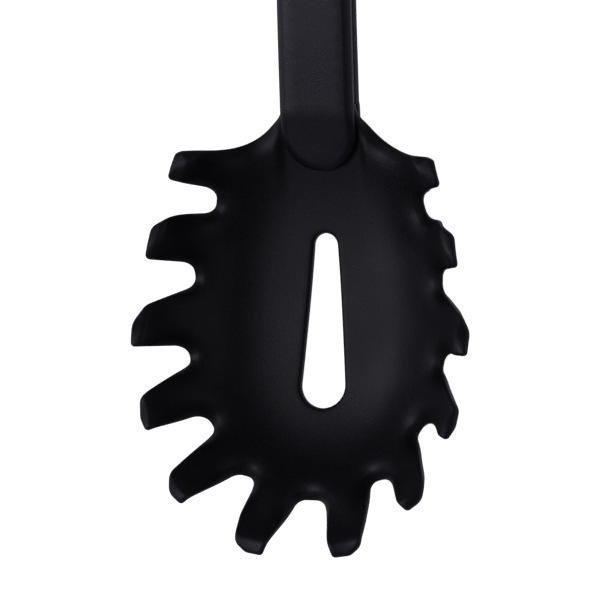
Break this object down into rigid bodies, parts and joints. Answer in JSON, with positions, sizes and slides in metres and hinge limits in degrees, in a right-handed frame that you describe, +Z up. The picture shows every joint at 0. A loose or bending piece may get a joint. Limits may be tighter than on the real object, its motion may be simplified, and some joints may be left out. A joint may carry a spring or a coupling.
{
  "type": "pasta server",
  "caption": "Long-handled pasta server: an oval scoop with finger-like teeth round its rim and a teardrop drain slot, on a bowed handle with a hanging hole.",
  "frame": {"origin": "bottom centre of the part's bounding box, on the table that it rests on", "axes": "+Z up from the table, +Y from the scoop's front teeth towards the handle's end, +X to the right seen from the scoop's front"},
  "size_m": [0.0704, 0.3068, 0.0264],
  "materials": {
    "scoop_nylon": "matt black nylon with a fine moulded grain",
    "cover_nylon": "satin black nylon",
    "back_nylon": "matt black nylon",
    "core_steel": "bright rolled strip",
    "rivet_aluminium": "plain",
    "eyelet_nylon": "smooth black nylon"
  },
  "bodies": {
    "root": {"scoop_head": "scoop_nylon", "handle_cover": "cover_nylon", "handle_back": "back_nylon", "core_bar": "core_steel", "tang_rivets": "rivet_aluminium", "locating_pins": "back_nylon", "hang_eyelet": "eyelet_nylon"}
  },
  "joints": []
}
